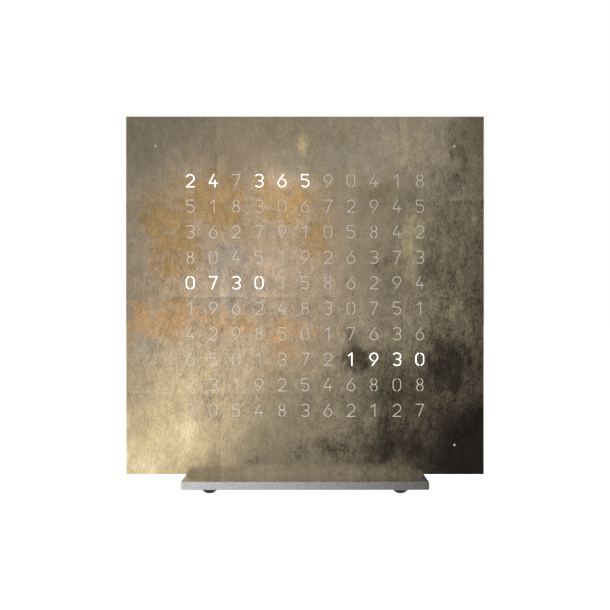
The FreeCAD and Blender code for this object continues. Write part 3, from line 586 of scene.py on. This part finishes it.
tree, place, shader = finish("patinated_leaf_on_steel_with_painted_light", "face_plate", Metallic=0.85)
on_plate = add(tree, "VectorMath", {0: place, 1: (0, 0, plate_middle.z * 1000)}, operation="SUBTRACT")
on_plate = on_plate.outputs[0]


def stirred(tree, place, size_mm, reach_mm, detail=5.0):
    """The place, moved in X and Z by up to half the reach, by noise of one grain size."""
    noise = add(tree, "TexNoise", {"Vector": place, "Scale": 1 / size_mm, "Detail": detail,
                                   "Roughness": 0.55})
    push = add(tree, "VectorMath", {0: noise.outputs["Color"], 1: (0.5, 0.5, 0.5)}, operation="SUBTRACT")
    return add(tree, "VectorMath", {0: push.outputs[0], 1: (reach_mm, 0, reach_mm), 2: place},
               operation="MULTIPLY_ADD").outputs[0]


def patch(tree, place, middle, half, amount):
    """Soft oval: the amount at its middle, nothing from one half size out."""
    spot = add(tree, "Mapping", {"Vector": place, "Location": (middle[0], 0, middle[1]),
                                 "Scale": (half[0], any_depth_mm, half[1])}, vector_type="TEXTURE")
    spot = add(tree, "TexGradient", {0: spot.outputs[0]}, gradient_type="SPHERICAL")
    return add(tree, "MapRange", {"Value": spot.outputs[1], "To Max": amount},
               interpolation_type="SMOOTHSTEP").outputs[0]


def patches(tree, place, ovals, start=0.0, operation="MAXIMUM"):
    """Several soft ovals in one, the strongest or their sum."""
    all_of_them = start
    for middle, half, amount in ovals:
        spot = patch(tree, place, middle, half, amount)
        all_of_them = add(tree, "Math", {0: all_of_them, 1: spot}, operation=operation).outputs[0]
    return all_of_them


def washed(tree, tone, colour, amount):
    """The tone under a wash of another colour."""
    return add(tree, "Mix", {0: amount, 6: tone, 7: linear(colour)}, data_type="RGBA").outputs[2]


# Leaves: which one a place lies on, as a random value, and how far it is from their seams
bent = stirred(tree, on_plate, 6, 0.7, 2.0)
along = add(tree, "VectorMath", {0: bent, 1: (leaf_corner_mm[0], 0, leaf_corner_mm[1])},
            operation="SUBTRACT")
along = add(tree, "SeparateXYZ", {0: along.outputs[0]})
row = add(tree, "Math", {0: along.outputs["Z"], 1: leaf_mm[1]}, operation="DIVIDE")
row = add(tree, "Math", {0: row.outputs[0]}, operation="FLOOR").outputs[0]
slip = add(tree, "TexWhiteNoise", {"W": row}, noise_dimensions="1D")
slid = add(tree, "Math", {0: slip.outputs["Value"], 1: row_slip_mm, 2: along.outputs["X"]},
           operation="MULTIPLY_ADD").outputs[0]
column = add(tree, "Math", {0: slid, 1: leaf_mm[0]}, operation="DIVIDE")
column = add(tree, "Math", {0: column.outputs[0]}, operation="FLOOR").outputs[0]
leaf = add(tree, "TexWhiteNoise", {0: add(tree, "CombineXYZ", {0: column, 1: row}).outputs[0]},
           noise_dimensions="3D").outputs["Value"]

# Slow tone of the patina, with ragged borders, and the painted highlight and painted shade of its lower
# corners
wandering = stirred(tree, stirred(tree, on_plate, 22, 18), 4, 5)
tone = linear(base_tone)
for colour, middle, half, amount in tones:
    tone = washed(tree, tone, colour, patch(tree, wandering, middle, half, amount))

# Washes, each broken up by its own noise and taken a little differently by every leaf
uptake = add(tree, "MapRange", {"Value": leaf, "To Min": -leaf_uptake, "To Max": leaf_uptake}).outputs[0]
for number, (colour, size_mm, up, lean, low, high, amount, places) in enumerate(washes):
    where = patches(tree, wandering, places)
    cloud = grain(tree, on_plate, size_mm, (1, 1, up), lean, 6.0, 0.70)
    cloud = add(tree, "Math", {0: cloud, 1: uptake})
    spread = add(tree, "Math", {0: where, 1: 0.5, 2: cloud.outputs[0]}, operation="MULTIPLY_ADD")
    cover = add(tree, "MapRange", {"Value": spread.outputs[0], "From Min": low, "From Max": high,
                                   "To Max": amount}, interpolation_type="SMOOTHSTEP")
    tone = washed(tree, tone, colour, cover.outputs[0])
    if number == 0:                       # the ochre alone has a rim
        edge = add(tree, "Math", {0: spread.outputs[0], 1: rim_at}, operation="SUBTRACT")
        edge = add(tree, "Math", {0: edge.outputs[0]}, operation="ABSOLUTE")
        edge = add(tree, "MapRange", {"Value": edge.outputs[0], "From Max": rim_width,
                                      "To Min": rim_amount, "To Max": 0.0})
        tone = washed(tree, tone, rim_colour, edge.outputs[0])

# Flakes where the leaf lifted and shows pale
flaking = stirred(tree, on_plate, 1.6, 4)
for middle, half in flakes:
    tone = washed(tree, tone, flake_colour, patch(tree, flaking, middle, half, flake_amount))

# Seams, dark on the lap's one side and bright on the other
light = add(tree, "MapRange", {"Value": leaf, "To Min": leaf_lights[0],
                               "To Max": leaf_lights[1]}).outputs[0]
unworn = grain(tree, on_plate, wear_grain_mm, detail=3.0)
unworn = add(tree, "MapRange", {"Value": unworn, "From Min": wear_span[0],
                                "From Max": wear_span[1]}).outputs[0]
showing = patches(tree, on_plate, seam_ovals, seam_least)
shown = add(tree, "Math", {0: unworn, 1: showing}, operation="MULTIPLY")
lap_low, lap_reach = lap[0][0], lap[-1][0] - lap[0][0]
for offset, size in ((slid, leaf_mm[0]), (along.outputs["Z"], leaf_mm[1])):
    across = add(tree, "Math", {0: offset, 1: size / 2, 2: -size / 2}, operation="WRAP")
    across = add(tree, "MapRange", {"Value": across.outputs[0], "From Min": lap_low,
                                    "From Max": lap_low + lap_reach})
    seam = add(tree, "ValToRGB", {0: across.outputs[0]})
    for _ in lap[2:]:
        seam.color_ramp.elements.new(1.0)
    for element, (at, shade) in zip(seam.color_ramp.elements, lap):
        element.position = (at - lap_low) / lap_reach
        element.color = (shade, shade, shade, 1)
    seam = add(tree, "Mix", {0: shown.outputs[0], 2: 1.0, 3: seam.outputs[0]})
    light = add(tree, "Math", {0: light, 1: seam.outputs[0]}, operation="MULTIPLY").outputs[0]

# Brush lines, grit and clouds
contrast = patches(tree, wandering, contrast_ovals, contrast_base, "ADD")
texture = 0.0
for size_mm, stretch, lean, detail, amount in layers:
    pattern = grain(tree, on_plate, size_mm, stretch, lean, detail, 0.6)
    pattern = add(tree, "Math", {0: pattern, 1: 0.5}, operation="SUBTRACT")
    texture = add(tree, "Math", {0: pattern.outputs[0], 1: amount, 2: texture},
                  operation="MULTIPLY_ADD").outputs[0]
textured = add(tree, "Math", {0: texture, 1: contrast, 2: 1.0}, operation="MULTIPLY_ADD")
light = add(tree, "Math", {0: light, 1: textured.outputs[0]}, operation="MULTIPLY").outputs[0]

# Fine dark cracks that lean across the gold, and pits and pale specks everywhere
crack = grain(tree, on_plate, crack_grain_mm, crack_stretch, crack_lean, 3.0)
crack = add(tree, "Math", {0: crack, 1: 0.5}, operation="SUBTRACT")
crack = add(tree, "Math", {0: crack.outputs[0]}, operation="ABSOLUTE")
crack = add(tree, "MapRange", {"Value": crack.outputs[0], "From Max": crack_width,
                               "To Min": crack_dark, "To Max": 0.0})
crack = add(tree, "Math", {0: crack.outputs[0], 1: patch(tree, wandering, *crack_oval)},
            operation="MULTIPLY")
light = add(tree, "Math", {0: light, 1: crack.outputs[0]}, operation="SUBTRACT").outputs[0]
for spacing_mm, spot_share, kept, change in specks:
    spots = add(tree, "TexVoronoi", {"Vector": on_plate, "Scale": 1 / spacing_mm})
    spot = add(tree, "MapRange", {"Value": spots.outputs["Distance"], "From Min": spot_share,
                                  "From Max": spot_share / 3})
    pick = add(tree, "SeparateXYZ", {0: spots.outputs["Color"]})
    pick = add(tree, "Math", {0: pick.outputs[0], 1: 1 - kept}, operation="GREATER_THAN")
    spot = add(tree, "Math", {0: spot.outputs[0], 1: pick.outputs[0]}, operation="MULTIPLY")
    light = add(tree, "Math", {0: spot.outputs[0], 1: change, 2: light},
                operation="MULTIPLY_ADD").outputs[0]

# The lower edge behind the foot carries a painted reflection of the foot's top, in a strip that narrows
# and fades upwards, and the arris below it has a painted highlight
strip_half_mm = 44.9
strip_border_mm = 0.5                     # its ends are soft over that, inwards and outwards
strip_narrows = 0.7
strip_fades_mm = (1.0, 4.5)               # height from which, and to which
strip_amount = 0.92
strip_colours = (0xB0A084, 0x696150)      # at its left end and its right
strip_ovals = (                           # colour, middle, half size, amount
    (0x85785F, (-46, -66), (20, 24), 0.9),
    (0x85785F, (-27, -66), (9, 24), 0.5),
    (0x4A4437, (42, -66), (15, 24), 0.6),
)
arris_mm = 0.25
arris_shine = 1.45
low_down = add(tree, "SeparateXYZ", {0: place})
height = add(tree, "Math", {0: low_down.outputs["Z"], 1: plate_low.z * 1000}, operation="SUBTRACT")
height = height.outputs[0]
aside = add(tree, "Math", {0: low_down.outputs["X"]}, operation="ABSOLUTE")
aside = add(tree, "Math", {0: height, 1: strip_narrows, 2: aside.outputs[0]}, operation="MULTIPLY_ADD")
aside = add(tree, "MapRange", {"Value": aside.outputs[0], "From Min": strip_half_mm + strip_border_mm,
                               "From Max": strip_half_mm - strip_border_mm})
# painted reflection of the foot: full low down, fading upwards and towards the strip's ends
foot_reflection_share = add(tree, "MapRange", {"Value": height, "From Min": strip_fades_mm[1],
                             "From Max": strip_fades_mm[0], "To Max": strip_amount})
foot_reflection_share = add(tree, "Math", {0: foot_reflection_share.outputs[0], 1: aside.outputs[0]}, operation="MULTIPLY").outputs[0]
strip = add(tree, "MapRange", {"Value": low_down.outputs["X"], "From Min": -strip_half_mm,
                               "From Max": strip_half_mm})
strip = add(tree, "Mix", {0: strip.outputs[0], 6: linear(strip_colours[0]), 7: linear(strip_colours[1])},
            data_type="RGBA").outputs[2]
for colour, middle, half, amount in strip_ovals:
    strip = washed(tree, strip, colour, patch(tree, on_plate, middle, half, amount))
tone = add(tree, "Mix", {0: foot_reflection_share, 6: tone, 7: strip}, data_type="RGBA").outputs[2]
# painted highlight on the arris, brightening the lowest quarter millimetre
arris = add(tree, "MapRange", {"Value": height, "From Min": arris_mm, "From Max": 0.0,
                               "To Min": 1.0, "To Max": arris_shine})
light = add(tree, "Math", {0: light, 1: arris.outputs[0]}, operation="MULTIPLY").outputs[0]
# the leaf's tone, with its painted highlight, shade and reflection, under the light of seams and grain
patina_and_painted_light = add(tree, "VectorMath", {0: tone, "Scale": light}, operation="SCALE").outputs[0]

# Leaf on the front, bare steel on the cut edges and the back
front = add(tree, "Math", {0: low_down.outputs["Y"], 1: plate_low.y * 1000 + leaf_depth_mm},
            operation="LESS_THAN").outputs[0]
mill = grain(tree, place, 0.6, (1, 4, 8), 0, 3.0)
steel = add(tree, "Mix", {0: mill, 6: linear(0x6E6C68), 7: linear(0x9A9894)}, data_type="RGBA")
coat = add(tree, "Mix", {0: front, 6: steel.outputs[2], 7: patina_and_painted_light}, data_type="RGBA")
tree.links.new(coat.outputs[2], shader.inputs["Base Color"])
rough = add(tree, "MapRange", {"Value": unworn, "To Min": lacquer_rough[0], "To Max": lacquer_rough[1]})
rough = add(tree, "Mix", {0: front, 2: mill_rough, 3: rough.outputs[0]})
tree.links.new(rough.outputs[0], shader.inputs["Roughness"])
raised(tree, shader, texture, 0.004)
